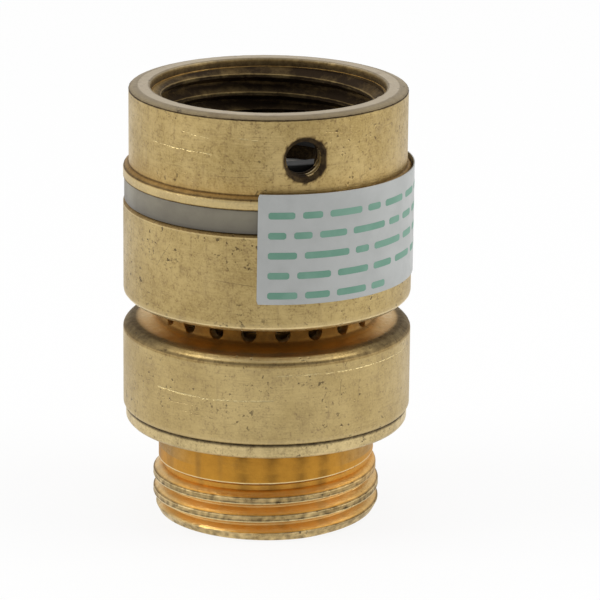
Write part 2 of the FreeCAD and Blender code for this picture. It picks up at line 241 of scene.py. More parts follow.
def skin(bm, rings):
    """Join rings of vertices into a tube with closed ends."""
    for low, high in zip(rings, rings[1:]):
        for i in range(len(low)):
            j = (i + 1) % len(low)
            bm.faces.new((low[i], low[j], high[j], high[i]))
    bm.faces.new(rings[0])
    bm.faces.new(rings[-1])


def cut(piece, cutter):
    """Cut one piece's mesh with another, and delete the cutter."""
    modifier = piece.modifiers.new("cut", "BOOLEAN")
    modifier.operation = "DIFFERENCE"
    modifier.solver = "EXACT"
    modifier.object = cutter
    graph = bpy.context.evaluated_depsgraph_get()
    mesh = bpy.data.meshes.new_from_object(piece.evaluated_get(graph))
    piece.modifiers.remove(modifier)
    old = piece.data
    piece.data = mesh
    bpy.data.meshes.remove(old)
    spent = cutter.data
    bpy.data.objects.remove(cutter)
    bpy.data.meshes.remove(spent)
    mesh.shade_smooth()
    mesh.set_sharp_from_angle(angle=SHARP)


def outward_at(azimuth):
    """The way out from the axis. Azimuth 0 faces the viewer and grows to the right."""
    return Vector((math.sin(azimuth), -math.cos(azimuth), 0))


def sideways_at(azimuth):
    """The way round the axis to the right, square to the way out."""
    return Vector((math.cos(azimuth), math.sin(azimuth), 0))


def dent(piece, azimuth_deg, height, depth, reach):
    """Push a small dent into a turned piece."""
    azimuth = math.radians(azimuth_deg)
    outward = outward_at(azimuth)
    for vert in piece.data.vertices:
        co = vert.co / MM
        along = math.atan2(co.x, -co.y) - azimuth
        if abs(along) > 0.3 or co.dot(outward) < 0:
            continue
        r = math.hypot(co.x, co.y)
        d = math.hypot(along * r / reach[0], (co.z - height) / reach[1])
        if d < 1 and r > 13:
            push = depth * (1 - d * d) ** 2 * MM
            vert.co -= Vector((co.x, co.y, 0)).normalized() * push


def shade(piece, pick):
    """Set wear and gold where a function of a vertex's place returns a pair, and leave the rest."""
    mesh = piece.data
    for vert in mesh.vertices:
        pair = pick(vert.co / MM)
        if pair:
            mesh.attributes["wear_and_painted_light"].data[vert.index].value = pair[0]
            mesh.attributes["gold"].data[vert.index].value = pair[1]


def smooth(t):
    """Ease a number from 0 to 1."""
    t = min(max(t, 0.0), 1.0)
    return t * t * (3 - 2 * t)


def drift(angle, fineness, z):
    """Smooth noise round the axis, between -1 and 1."""
    return noise.noise(Vector((math.cos(angle) * fineness, math.sin(angle) * fineness, z)))


def dress(piece, material, body, *nodes):
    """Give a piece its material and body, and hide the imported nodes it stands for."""
    piece.data.materials.clear()
    piece.data.materials.append(material)
    if nodes:
        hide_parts(*nodes)
    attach(piece, body)
    return piece


# Material code

def new_group(name, inputs, outputs):
    """An empty shader group with named sockets. An input is its name, type and default."""
    group = bpy.data.node_groups.new(name, "ShaderNodeTree")
    for label, kind, value in inputs:
        socket = group.interface.new_socket(label, in_out="INPUT", socket_type=kind)
        socket.default_value = value
    for label, kind in outputs:
        group.interface.new_socket(label, in_out="OUTPUT", socket_type=kind)
    return group, group.nodes.new("NodeGroupInput"), group.nodes.new("NodeGroupOutput")


FLOAT, COLOR = "NodeSocketFloat", "NodeSocketColor"


def math_node(tree, operation, first, second=None, clamp=False):
    """A math node fed by sockets or numbers."""
    node = tree.nodes.new("ShaderNodeMath")
    node.operation = operation
    node.use_clamp = clamp
    for slot, value in enumerate((first, second)):
        if value is None:
            continue
        if isinstance(value, (int, float)):
            node.inputs[slot].default_value = value
        else:
            tree.links.new(value, node.inputs[slot])
    return node.outputs[0]


def times(tree, first, second, clamp=False):
    return math_node(tree, "MULTIPLY", first, second, clamp)


def plus(tree, first, second, clamp=False):
    return math_node(tree, "ADD", first, second, clamp)


def minus(tree, first, second, clamp=False):
    return math_node(tree, "SUBTRACT", first, second, clamp)


def positive(tree, value):
    """A value, with all below zero raised to zero."""
    return math_node(tree, "MAXIMUM", value, 0.0)


def squares(tree, first, second):
    """The sum of two squares."""
    return plus(tree, times(tree, first, first), times(tree, second, second))


def mixed(tree, factor, first, second):
    """Mix two colours, given as sockets or as plain colours."""
    node = tree.nodes.new("ShaderNodeMix")
    node.data_type = "RGBA"
    for slot, value in ((0, factor), (6, first), (7, second)):
        if isinstance(value, (int, float, tuple)):
            node.inputs[slot].default_value = value
        else:
            tree.links.new(value, node.inputs[slot])
    return node.outputs[2]


def ramped(tree, value, low, high, out_low=0.0, out_high=1.0):
    """Remap a value smoothly between two limits."""
    node = tree.nodes.new("ShaderNodeMapRange")
    node.interpolation_type = "SMOOTHSTEP"
    tree.links.new(value, node.inputs["Value"])
    for label, limit in (("From Min", low), ("From Max", high), ("To Min", out_low), ("To Max", out_high)):
        if isinstance(limit, (int, float)):
            node.inputs[label].default_value = limit
        else:
            tree.links.new(limit, node.inputs[label])
    return node.outputs["Result"]


def noise_at(tree, vector, scale, detail=3.0, rough=0.55):
    """A noise texture's value, with its scale in features per metre."""
    node = tree.nodes.new("ShaderNodeTexNoise")
    node.inputs["Scale"].default_value = scale
    node.inputs["Detail"].default_value = detail
    node.inputs["Roughness"].default_value = rough
    tree.links.new(vector, node.inputs["Vector"])
    return node.outputs["Fac"]


def object_place(tree, stretch=(1, 1, 1), shift=(0, 0, 0)):
    """Object coordinates, stretched and shifted."""
    coords = tree.nodes.new("ShaderNodeTexCoord")
    mapping = tree.nodes.new("ShaderNodeMapping")
    mapping.inputs["Scale"].default_value = stretch
    mapping.inputs["Location"].default_value = shift
    tree.links.new(coords.outputs["Object"], mapping.inputs["Vector"])
    return mapping.outputs["Vector"]


def attribute(tree, name):
    """A mesh attribute's value."""
    node = tree.nodes.new("ShaderNodeAttribute")
    node.attribute_name = name
    return node.outputs["Fac"]


def scratch_group():
    """A mask for one straight scratch between two points given by azimuth and height."""
    group, inside, outside = new_group(
        "Scratch line",
        [("Start Azimuth", FLOAT, 0.0), ("Start Height", FLOAT, 0.0), ("End Azimuth", FLOAT, 0.0),
         ("End Height", FLOAT, 0.0), ("Width", FLOAT, 0.1), ("Radius", FLOAT, 17.0)],
        [("Mask", FLOAT)],
    )
    coords = group.nodes.new("ShaderNodeTexCoord")
    parts = group.nodes.new("ShaderNodeSeparateXYZ")
    group.links.new(coords.outputs["Object"], parts.inputs[0])
    minus_y = times(group, parts.outputs["Y"], -1.0)
    azimuth = math_node(group, "ARCTAN2", parts.outputs["X"], minus_y)
    start, start_z, end, end_z, thick, radius = list(inside.outputs)[:6]
    across = times(group, azimuth, radius)
    height = times(group, parts.outputs["Z"], 1000.0)
    wobble = noise_at(group, coords.outputs["Object"], 700.0, 2.0)
    height = plus(group, height, times(group, wobble, 0.25))
    start_x = times(group, start, radius)
    run_x = minus(group, times(group, end, radius), start_x)
    run_y = minus(group, end_z, start_z)
    x = minus(group, across, start_x)
    y = minus(group, height, start_z)
    dot = plus(group, times(group, x, run_x), times(group, y, run_y))
    t = math_node(group, "DIVIDE", dot, squares(group, run_x, run_y), clamp=True)
    off_x = minus(group, x, times(group, run_x, t))
    off_y = minus(group, y, times(group, run_y, t))
    away = math_node(group, "SQRT", squares(group, off_x, off_y))
    broken = noise_at(group, coords.outputs["Object"], 2500.0, 2.0)
    width = times(group, thick, ramped(group, broken, 0.35, 0.6))
    near = ramped(group, away, 0.0, width, 1.0, 0.0)
    group.links.new(near, outside.inputs["Mask"])
    return group


def brass_group():
    """Colour, roughness and surface height of turned brass with mottled tarnish, pits, rubbed edges, painted
    highlights and painted shade.
    """
    group, inside, outside = new_group(
        "Tarnished brass",
        [("Clean", COLOR, (0.6, 0.45, 0.16, 1)), ("Aged", COLOR, (0.4, 0.3, 0.12, 1)),
         ("Stain", COLOR, (0.16, 0.11, 0.07, 1)), ("Gold", COLOR, (0.5, 0.25, 0.04, 1)),
         ("Top_shade", COLOR, (0.46, 0.38, 0.26, 1)), ("Grime_and_shade", COLOR, (0.05, 0.035, 0.02, 1)),
         ("Worn_and_highlight", COLOR, (0.82, 0.66, 0.36, 1)),
         ("Tarnish", FLOAT, 0.5), ("Stains", FLOAT, 0.5),
         ("Pits", FLOAT, 0.5), ("Roughness", FLOAT, 0.35)],
        [("Color", COLOR), ("Roughness", FLOAT), ("Height", FLOAT)],
    )
    (clean, aged, stain, rich, top_shade, grime_and_shade, polish_and_highlight,
     tarnish, stains, pitting, roughness) = list(inside.outputs)[:11]
    place = object_place(group)
    broad = noise_at(group, place, 130.0, 4.0, 0.6)
    fine = noise_at(group, place, 1100.0, 5.0, 0.7)
    grain = noise_at(group, place, 4200.0, 3.0, 0.6)
    rings = noise_at(group, object_place(group, (1, 1, 16)), 300.0, 4.0, 0.65)
    drawn = noise_at(group, object_place(group, (9, 9, 1)), 210.0, 3.0, 0.6)
    wear_and_painted_light = attribute(group, "wear_and_painted_light")
    gold = attribute(group, "gold")
    golden = positive(group, gold)

    blotch = ramped(group, plus(group, times(group, broad, 0.6), times(group, fine, 0.4)), 0.33, 0.66)
    color = mixed(group, times(group, blotch, tarnish), clean, aged)
    brushed = math_node(group, "MAXIMUM", ramped(group, rings, 0.5, 0.72), ramped(group, drawn, 0.54, 0.76))
    color = mixed(group, times(group, brushed, 0.26), color, stain)
    sparkle = ramped(group, rings, 0.44, 0.3)
    color = mixed(group, times(group, sparkle, 0.3), color, clean)
    specks = times(group, ramped(group, grain, 0.48, 0.72), ramped(group, fine, 0.4, 0.62))
    color = mixed(group, times(group, specks, 0.7), color, stain)
    color = mixed(group, times(group, ramped(group, grain, 0.5, 0.3), 0.4), color, clean)

    # The gold attribute mixes in the groove tone: partly cleaner brass, and partly painted reflection of
    # light bounced inside the grooves and the waist.
    streaks = ramped(group, noise_at(group, object_place(group, (4, 4, 0.5)), 90.0, 1.5, 0.5), 0.52, 0.7)
    deep = mixed(group, times(group, streaks, 0.35), rich, stain)
    color = mixed(group, golden, color, deep)
    # Painted shade: where gold is below zero, a brown tone darkens the rim's up-facing faces.
    clouds = times(group, plus(group, broad, fine), 0.95)
    top_shade_mask = times(group, positive(group, times(group, gold, -1.0)), clouds, clamp=True)
    color = mixed(group, top_shade_mask, color, top_shade)

    patches = noise_at(group, object_place(group, shift=(0.3, 0.1, 0.7)), 260.0, 6.0, 0.75)
    color = mixed(group, times(group, ramped(group, patches, 0.54, 0.74), stains), color, stain)
    spots = noise_at(group, object_place(group, shift=(0.9, 0.4, 0.2)), 1700.0, 2.0, 0.5)
    gate = noise_at(group, object_place(group, shift=(0.2, 0.8, 0.5)), 180.0, 2.0, 0.5)
    pits = times(group, ramped(group, spots, 0.62, 0.72), ramped(group, gate, 0.4, 0.6))
    pits = times(group, pits, pitting)
    pits = times(group, pits, minus(group, 1.0, gold, clamp=True))
    color = mixed(group, pits, color, grime_and_shade)

    # Above zero, wear_and_painted_light mixes towards Worn_and_highlight: rubbed edges, and painted
    # highlights on edges, groove flanks and hole crests. Below zero it mixes towards Grime_and_shade: grime
    # in hollows, and painted shade in holes, recesses and on up-facing faces.
    ragged = plus(group, -0.3, times(group, fine, 2.6))
    rubbed_and_highlit = times(group, positive(group, wear_and_painted_light), ragged, clamp=True)
    color = mixed(group, times(group, rubbed_and_highlit, 0.75), color, polish_and_highlight)
    patchy = plus(group, 0.75, times(group, fine, 0.5))
    grimy_and_shaded = times(group, positive(group, times(group, wear_and_painted_light, -1.0)), patchy, clamp=True)
    color = mixed(group, grimy_and_shaded, color, grime_and_shade)
    group.links.new(color, outside.inputs["Color"])

    rough = plus(group, roughness, times(group, blotch, 0.12))
    rough = plus(group, rough, times(group, grain, 0.08))
    rough = minus(group, rough, times(group, rubbed_and_highlit, 0.1))
    rough = plus(group, rough, times(group, golden, 0.08))
    rough = plus(group, rough, times(group, grimy_and_shaded, 0.3), clamp=True)
    group.links.new(rough, outside.inputs["Roughness"])

    height = times(group, rings, 0.8)
    for layer, share in ((grain, 0.4), (fine, 0.9), (drawn, 0.5), (pits, -1.5)):
        height = plus(group, height, times(group, layer, share))
    group.links.new(height, outside.inputs["Height"])
    return group


def principled(name):
    """A new material with its Principled shader."""
    material = bpy.data.materials.new(name)
    material.use_nodes = True
    return material, material.node_tree, material.node_tree.nodes["Principled BSDF"]


def bumped(tree, shader, height, strength, distance):
    """Feed a height into a shader's normal."""
    bump = tree.nodes.new("ShaderNodeBump")
    bump.inputs["Strength"].default_value = strength
    bump.inputs["Distance"].default_value = distance
    tree.links.new(height, bump.inputs["Height"])
    tree.links.new(bump.outputs["Normal"], shader.inputs["Normal"])


def placed(tree, group, values):
    """A group node with its plain inputs set."""
    node = tree.nodes.new("ShaderNodeGroup")
    node.node_tree = group
    for label, value in values.items():
        node.inputs[label].default_value = value
    return node


def brass(name, values, radius=0.0, scratches=()):
    """A brass material. A scratch is start azimuth and height, end azimuth and height, width and colour."""
    material, tree, shader = principled(name)
    surface = placed(tree, bpy.data.node_groups["Tarnished brass"], values)
    color = surface.outputs["Color"]
    height = surface.outputs["Height"]
    for start_deg, start_z, end_deg, end_z, width, tone in scratches:
        line = placed(tree, bpy.data.node_groups["Scratch line"], {
            "Start Azimuth": math.radians(start_deg), "Start Height": start_z,
            "End Azimuth": math.radians(end_deg), "End Height": end_z, "Width": width, "Radius": radius,
        })
        mask = line.outputs["Mask"]
        color = mixed(tree, times(tree, mask, 0.5), color, tone)
        height = minus(tree, height, times(tree, mask, 1.2))
    tree.links.new(color, shader.inputs["Base Color"])
    tree.links.new(surface.outputs["Roughness"], shader.inputs["Roughness"])
    shader.inputs["Metallic"].default_value = 1.0
    bumped(tree, shader, height, 0.5, 0.00009)
    return material


def plastic(name, color, dark, roughness, bump=0.1):
    """A moulded plastic or rubber with faint cloudiness, and painted shade where wear_and_painted_light is
    below zero.
    """
    material, tree, shader = principled(name)
    place = object_place(tree)
    cloud = ramped(tree, noise_at(tree, place, 240.0, 4.0, 0.6), 0.35, 0.7)
    painted_shade = times(tree, attribute(tree, "wear_and_painted_light"), -1.0, clamp=True)
    painted_shade = mixed(tree, painted_shade, mixed(tree, cloud, color, dark), (0.06, 0.05, 0.035, 1))
    tree.links.new(painted_shade, shader.inputs["Base Color"])
    grain = noise_at(tree, place, 3800.0, 3.0, 0.6)
    rough = plus(tree, roughness, times(tree, cloud, 0.1))
    tree.links.new(rough, shader.inputs["Roughness"])
    bumped(tree, shader, grain, bump, 0.00004)
    return material


def wire(name):
    """Drawn stainless wire."""
    material, tree, shader = principled(name)
    place = object_place(tree)
    cloud = ramped(tree, noise_at(tree, place, 600.0, 3.0), 0.3, 0.7)
    steel = mixed(tree, cloud, (0.55, 0.55, 0.55, 1), (0.4, 0.4, 0.41, 1))
    tree.links.new(steel, shader.inputs["Base Color"])
    shader.inputs["Metallic"].default_value = 1.0
    rough = plus(tree, 0.22, times(tree, cloud, 0.15))
    tree.links.new(rough, shader.inputs["Roughness"])
    bumped(tree, shader, noise_at(tree, place, 5000.0, 2.0), 0.1, 0.00003)
    return material


BRIGHT = (0.8, 0.68, 0.36, 1)
DARK = (0.12, 0.08, 0.05, 1)

COLLAR_SCRATCHES = [
    (-53.0, 47.35, -22.5, 47.15, 0.11, BRIGHT),
    (-11.2, 49.2, -3.7, 49.04, 0.09, BRIGHT),
    (-36.0, 49.35, -24.0, 48.95, 0.07, BRIGHT),
    (-24.0, 44.65, -7.0, 44.75, 0.06, DARK),
    (24.0, 49.85, 38.0, 49.35, 0.06, DARK),
]
BODY_SCRATCHES = [
    (4.0, 21.55, 74.0, 21.5, 0.12, BRIGHT),
    (-47.6, 18.6, -24.0, 18.35, 0.17, BRIGHT),
    (-26.0, 18.3, 3.0, 18.6, 0.15, BRIGHT),
    (-43.6, 17.24, -27.4, 17.33, 0.07, DARK),
    (-34.0, 16.4, -20.0, 16.0, 0.07, DARK),
    (-48.0, 33.0, -40.0, 36.2, 0.06, DARK),
    (-20.0, 32.6, -4.0, 32.2, 0.06, DARK),
    (30.0, 17.5, 31.0, 20.6, 0.06, DARK),
]


class BreakerSettings(bpy.types.PropertyGroup):
    """Sizes and colours that a user may change."""

    thread_pitch: FloatProperty(
        name="Thread pitch", description="Rise of the hose threads in one turn", default=2.209 * MM,
        min=0.001, max=0.004, unit="LENGTH", precision=5,
    )
    collar_color: FloatVectorProperty(
        name="Collar brass", description="Aged brass of the inlet collar", default=(0.38, 0.27, 0.1),
        subtype="COLOR", size=3, min=0.0, max=1.0,
    )
    body_color: FloatVectorProperty(
        name="Body brass", description="Aged brass of the body and nipple", default=(0.365, 0.262, 0.102),
        subtype="COLOR", size=3, min=0.0, max=1.0,
    )
    # The groove tone is partly cleaner brass and partly painted reflection: its deeper orange stands for
    # light bounced inside grooves and the waist.
    gold_color: FloatVectorProperty(
        name="Groove brass", description="Cleaner brass in the grooves and waist",
        default=(0.6, 0.3, 0.045), subtype="COLOR", size=3, min=0.0, max=1.0,
    )
    ring_color: FloatVectorProperty(
        name="Ring plastic", description="Grey plastic of the joint ring", default=(0.185, 0.165, 0.115),
        subtype="COLOR", size=3, min=0.0, max=1.0,
    )
    label_color: FloatVectorProperty(
        name="Label film", description="Film of the blank label", default=(0.385, 0.395, 0.385),
        subtype="COLOR", size=3, min=0.0, max=1.0,
    )
    print_color: FloatVectorProperty(
        name="Label bars", description="Ink of the plain bars on the label", default=(0.11, 0.25, 0.18),
        subtype="COLOR", size=3, min=0.0, max=1.0,
    )
    coil_sides: IntProperty(
        name="Wire sides", description="Sides of the round spring wire", default=14, min=6, max=32,
    )


def rgba(color):
    return (color[0], color[1], color[2], 1.0)


class BREAKER_OT_finishes(bpy.types.Operator):
    """Make the shared node groups and the materials"""

    bl_idname = "breaker.finishes"
    bl_label = "Make finishes"

    def execute(self, context):
        s = settings()
        scratch_group()
        brass_group()
        gold = rgba(s.gold_color)
        stain_and_shade = {"Stain": (0.17, 0.105, 0.06, 1), "Grime_and_shade": (0.045, 0.03, 0.018, 1), "Tarnish": 0.9}
        brass("collar brass", {
            "Clean": (0.56, 0.42, 0.185, 1), "Aged": rgba(s.collar_color), "Gold": gold,
            "Stains": 0.35, "Pits": 0.6, "Roughness": 0.3, **stain_and_shade,
        }, COLLAR_R, COLLAR_SCRATCHES)
        brass("body brass", {
            "Clean": (0.53, 0.4, 0.175, 1), "Aged": rgba(s.body_color), "Gold": gold,
            "Stains": 0.45, "Pits": 0.8, "Roughness": 0.32, **stain_and_shade,
        }, 17.0, BODY_SCRATCHES)
        brass("nipple brass", {
            "Clean": (0.72, 0.56, 0.28, 1), "Aged": (0.43, 0.33, 0.15, 1), "Gold": (0.76, 0.38, 0.05, 1),
            "Stains": 0.2, "Pits": 0.9, "Roughness": 0.28, **stain_and_shade,
        })
        plastic("grey plastic", rgba(s.ring_color), (0.15, 0.13, 0.092, 1), 0.36, 0.05)
        plastic("white plastic", (0.72, 0.71, 0.67, 1), (0.6, 0.58, 0.53, 1), 0.4)
        rubber = plastic("black rubber", (0.01, 0.01, 0.011, 1), (0.02, 0.019, 0.018, 1), 0.5, 0.2)
        rubber.node_tree.nodes["Principled BSDF"].inputs["Specular IOR Level"].default_value = 0.3
        plastic("label film", rgba(s.label_color), (0.35, 0.36, 0.35, 1), 0.42, 0.06)
        plastic("label ink", rgba(s.print_color), (0.15, 0.29, 0.22, 1), 0.5, 0.05)
        wire("spring wire")
        return {"FINISHED"}


def material(name):
    return bpy.data.materials[name]


class BREAKER_OT_inlet_collar(bpy.types.Operator):
    """Turn the inlet collar with its female thread and tapped screw hole"""

    bl_idname = "breaker.inlet_collar"
    bl_label = "Inlet collar"

    def execute(self, context):
        lip_top = RING_HIGH + 1.15
        ledge = lip_top + 0.47
        pocket = WASHER_HIGH + 0.1
        web = WASHER_LOW - 2.0
        pocket_r = 13.85
        web_r = 9.5
        mouth_r = 13.72
        dark = -0.95
        outside = rows_of([
            (CHAMBER_R, web, 0, 0, 0.3),
            (CHAMBER_R, COLLAR_LOW, 0.05, 0, 0.3),
            (SPIGOT_R, COLLAR_LOW, 0.05, 0, 0.3),
            *seal_groove(SPIGOT_R, SPIGOT_R - 1.4, RING_HIGH - 6.9),
            (SPIGOT_R, RING_HIGH, 0, 0, 0.3),
            (LIP_R, RING_HIGH, 0.08, -0.8, 0.2),
            (LIP_R, RING_HIGH + 0.2, 0, 0.3, 0),
            (LIP_R, lip_top - 0.12, 0, 0.45, 0),
            # Painted shade: the lip's up-facing chamfer and the corner at the collar's foot are darkened.
            (LIP_R - 0.06, lip_top + 0.06, 0.03, -0.8, 0.3),
            (LIP_R - 0.25, (lip_top + ledge) / 2, 0, -0.5, 0.5),
            (LIP_R - 0.42, ledge - 0.06, 0.05, -0.5, 0.5),
            (COLLAR_R, ledge + 0.03, 0.03, -0.75, 0.4),
            (COLLAR_R, ledge + 0.12, 0, -0.35, 0.3),
            (COLLAR_R, ledge + 0.2, 0, -0.05, 0.2),
            (COLLAR_R, ledge + 0.6, 0, 0, 0.1),
            (COLLAR_R, ledge + 2.6, 0, 0, 0.0),
            (COLLAR_R, RIM - 0.52, 0, 0, 0),
            # Painted shade: the rim's outer edge, chamfer and up-facing top are darkened, the top with the
            # brown tone of a gold value below zero.
            (COLLAR_R, RIM - 0.37, 0.06, -0.95, 0),
            (COLLAR_R - 0.1, RIM - 0.27, 0.03, -0.45, -0.6),
            (COLLAR_R - 0.35, RIM - 0.16, 0, -0.3, -0.6),
            (15.4, RIM, 0.12, -0.35, -0.8),
            (15.15, RIM, 0, 0, -1),
            (14.1, RIM, 0, 0, -1),
            (13.9, RIM, 0.12, -0.4, -0.8),
            (mouth_r, RIM - 0.3, 0.08, -0.7, 0.2),
            (mouth_r, RIM - 0.9, 0, -0.9, 0.2),
            (mouth_r, RIM - 1.0, 0, 0, 0.2),
        ])
        pitch = settings().thread_pitch / MM
        crest_r = 12.5
        root_r = 13.6
        form = [
            (-0.5, 0.0, dark, 0.3), (-0.4, 0.0, dark, 0.3), (-0.1, 0.95, dark, 0.2), (-0.08, 1.0, dark, 0),
            (0.06, 1.0, dark, 0), (0.08, 1.0, -0.6, 0.1), (0.1, 0.95, -0.6, 0.1), (0.13, 0.86, dark, 0.2),
            (0.4, 0.0, dark, 0.3), (0.5, 0.0, dark, 0.3),
        ]

        def bore(angle, z, height, wear_and_painted_light, gold):
            wear_and_painted_light += 0.3 * drift(angle, 4, z * 2.5)
            return (root_r - (root_r - crest_r) * height, z, wear_and_painted_light, gold)

        front_crest = 48.6
        inside = helix_rows(form, pitch, pocket, RIM - 1.02, front_crest, bore)
        inside.reverse()
        bottom = rows_of([
            (pocket_r, pocket, 0.03, dark, 0),
            (pocket_r, WASHER_LOW, 0, dark, 0.3),
            (web_r, WASHER_LOW, 0.1, dark, 0.3),
            (web_r, web, 0.1, dark, 0.3),
        ])
        piece = turned("inlet_collar_turned", outside + inside + bottom, roughen=0.035, seed=3)
        cut(piece, self.screw_hole_cutter())
        outward = outward_at(HOLE_AZIMUTH)
        sideways = sideways_at(HOLE_AZIMUTH)
        centre = Vector((0, 0, HOLE_Z))

        # Painted light and shade in the screw hole: thread crests on its right side and at its left edge
        # near the mouth are lightened as painted highlights, and the rest of the hole and its countersink is
        # darkened as painted shade.
        def hole_light_and_shade(co):
            along = (co - centre).dot(outward)
            across = (co - centre - outward * along).length
            if along < 12.2 or across > 2.7:
                return None
            right = (co - centre).dot(sideways)
            up = co.z - HOLE_Z
            if across > 2.6 and right < -0.6 and up > -1.2:
                return None
            lit = (right > 0.4 and up < 0.7) or (right < -1.9 and along > 15.4)
            return (0.6, 0.2) if lit and across < 2.13 and 14.2 < along < 15.75 else (-0.95, 0.2)

        shade(piece, hole_light_and_shade)
        dent(piece, -43.9, 41.5, 0.1, (0.16, 0.5))
        dent(piece, 66.0, RIM - 0.1, 0.16, (0.6, 0.25))
        dress(piece, material("collar brass"), "housing", "inlet_collar")
        return {"FINISHED"}

    def screw_hole_cutter(self):
        """A threaded cutter that lies along the screw hole."""
        wall_in, wall_out = 12.0, COLLAR_R
        sink = 0.42
        hole_r = 2.25
        thread_depth = 0.22
        hole_pitch = 0.8
        form = [(-0.5, 0.0, -0.9, 0.2), (-0.1, 1.0, 0.7, 0.2), (0.1, 1.0, 0.7, 0.2), (0.5, 0.0, -0.9, 0.2)]

        def tapped(angle, z, height, wear_and_painted_light, gold):
            return (hole_r - thread_depth * height, z, wear_and_painted_light, gold)

        rows = [fixed((0.0, wall_in, 0, 0))]
        rows += helix_rows(form, hole_pitch, wall_in, wall_out - sink, 14.0, tapped)
        rows += [
            fixed((hole_r + sink * 0.7, wall_out - 0.08, -0.9, 0)),
            fixed((hole_r + sink * 0.9, wall_out + 0.1, -0.9, 0)),
            fixed((hole_r + sink * 0.9, wall_out + 1.5, -0.9, 0)),
            fixed((0.0, wall_out + 1.5, 0, 0)),
        ]
        cutter = turned("screw_hole_cutter", rows, columns=72)
        turn = outward_at(HOLE_AZIMUTH).to_track_quat("Z", "Y").to_matrix().to_4x4()
        cutter.data.transform(Matrix.Translation((0, 0, HOLE_Z * MM)) @ turn)
        return cutter


